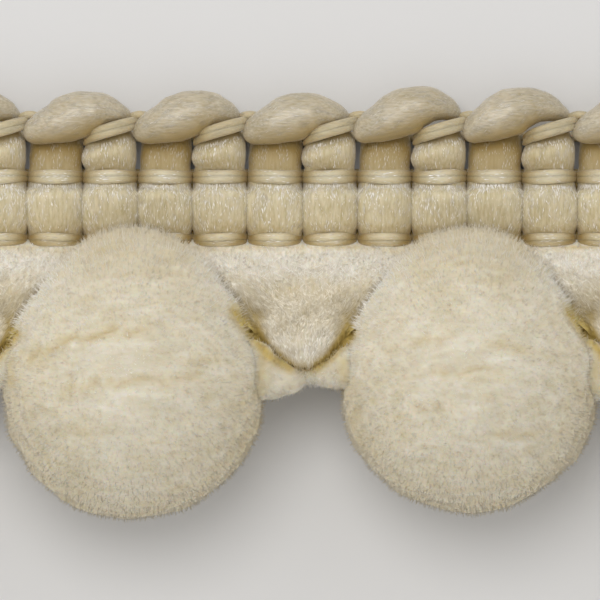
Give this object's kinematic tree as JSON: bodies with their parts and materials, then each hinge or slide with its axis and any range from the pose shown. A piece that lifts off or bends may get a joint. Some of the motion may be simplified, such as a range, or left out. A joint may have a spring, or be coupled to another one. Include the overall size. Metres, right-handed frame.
{
  "type": "pompom fringe trim",
  "caption": "Cut length of pompom fringe trim: a column-woven heading with a looped cord edge, round yarn pompoms along its foot, and gathered tufts and pinched ties between them.",
  "frame": {"origin": "on the surface that the trim lies on, under the middle of its length and width", "axes": "+X along the trim, +Y from the pompoms to the looped edge, +Z out of the face"},
  "size_m": [0.1066, 0.0326, 0.0197],
  "materials": {
    "heading_yarn": "soft matt cream yarn with a slight sheen along its fibres",
    "loop_cord": "smooth satin cream cord",
    "pompom_yarn": "matt brushed cream yarn, fuzzy all over",
    "tuft_yarn": "soft combed cream yarn",
    "tie_yarn": "soft rolled cream yarn"
  },
  "bodies": {
    "root": {"heading": "heading_yarn", "loop_01": "loop_cord", "loop_02": "loop_cord", "loop_03": "loop_cord", "loop_04": "loop_cord", "loop_05": "loop_cord", "loop_06": "loop_cord", "loop_07": "loop_cord", "loop_08": "loop_cord", "loop_09": "loop_cord", "loop_10": "loop_cord", "loop_11": "loop_cord", "loop_12": "loop_cord", "loop_13": "loop_cord", "pompom_1": "pompom_yarn", "pompom_2": "pompom_yarn", "pompom_3": "pompom_yarn", "pompom_4": "pompom_yarn", "tuft_1": "tuft_yarn", "tuft_2": "tuft_yarn", "tuft_3": "tuft_yarn", "tuft_4": "tuft_yarn", "tuft_5": "tuft_yarn", "tie_1": "tie_yarn", "tie_2": "tie_yarn", "tie_3": "tie_yarn", "tie_4": "tie_yarn", "tie_5": "tie_yarn"}
  },
  "joints": []
}
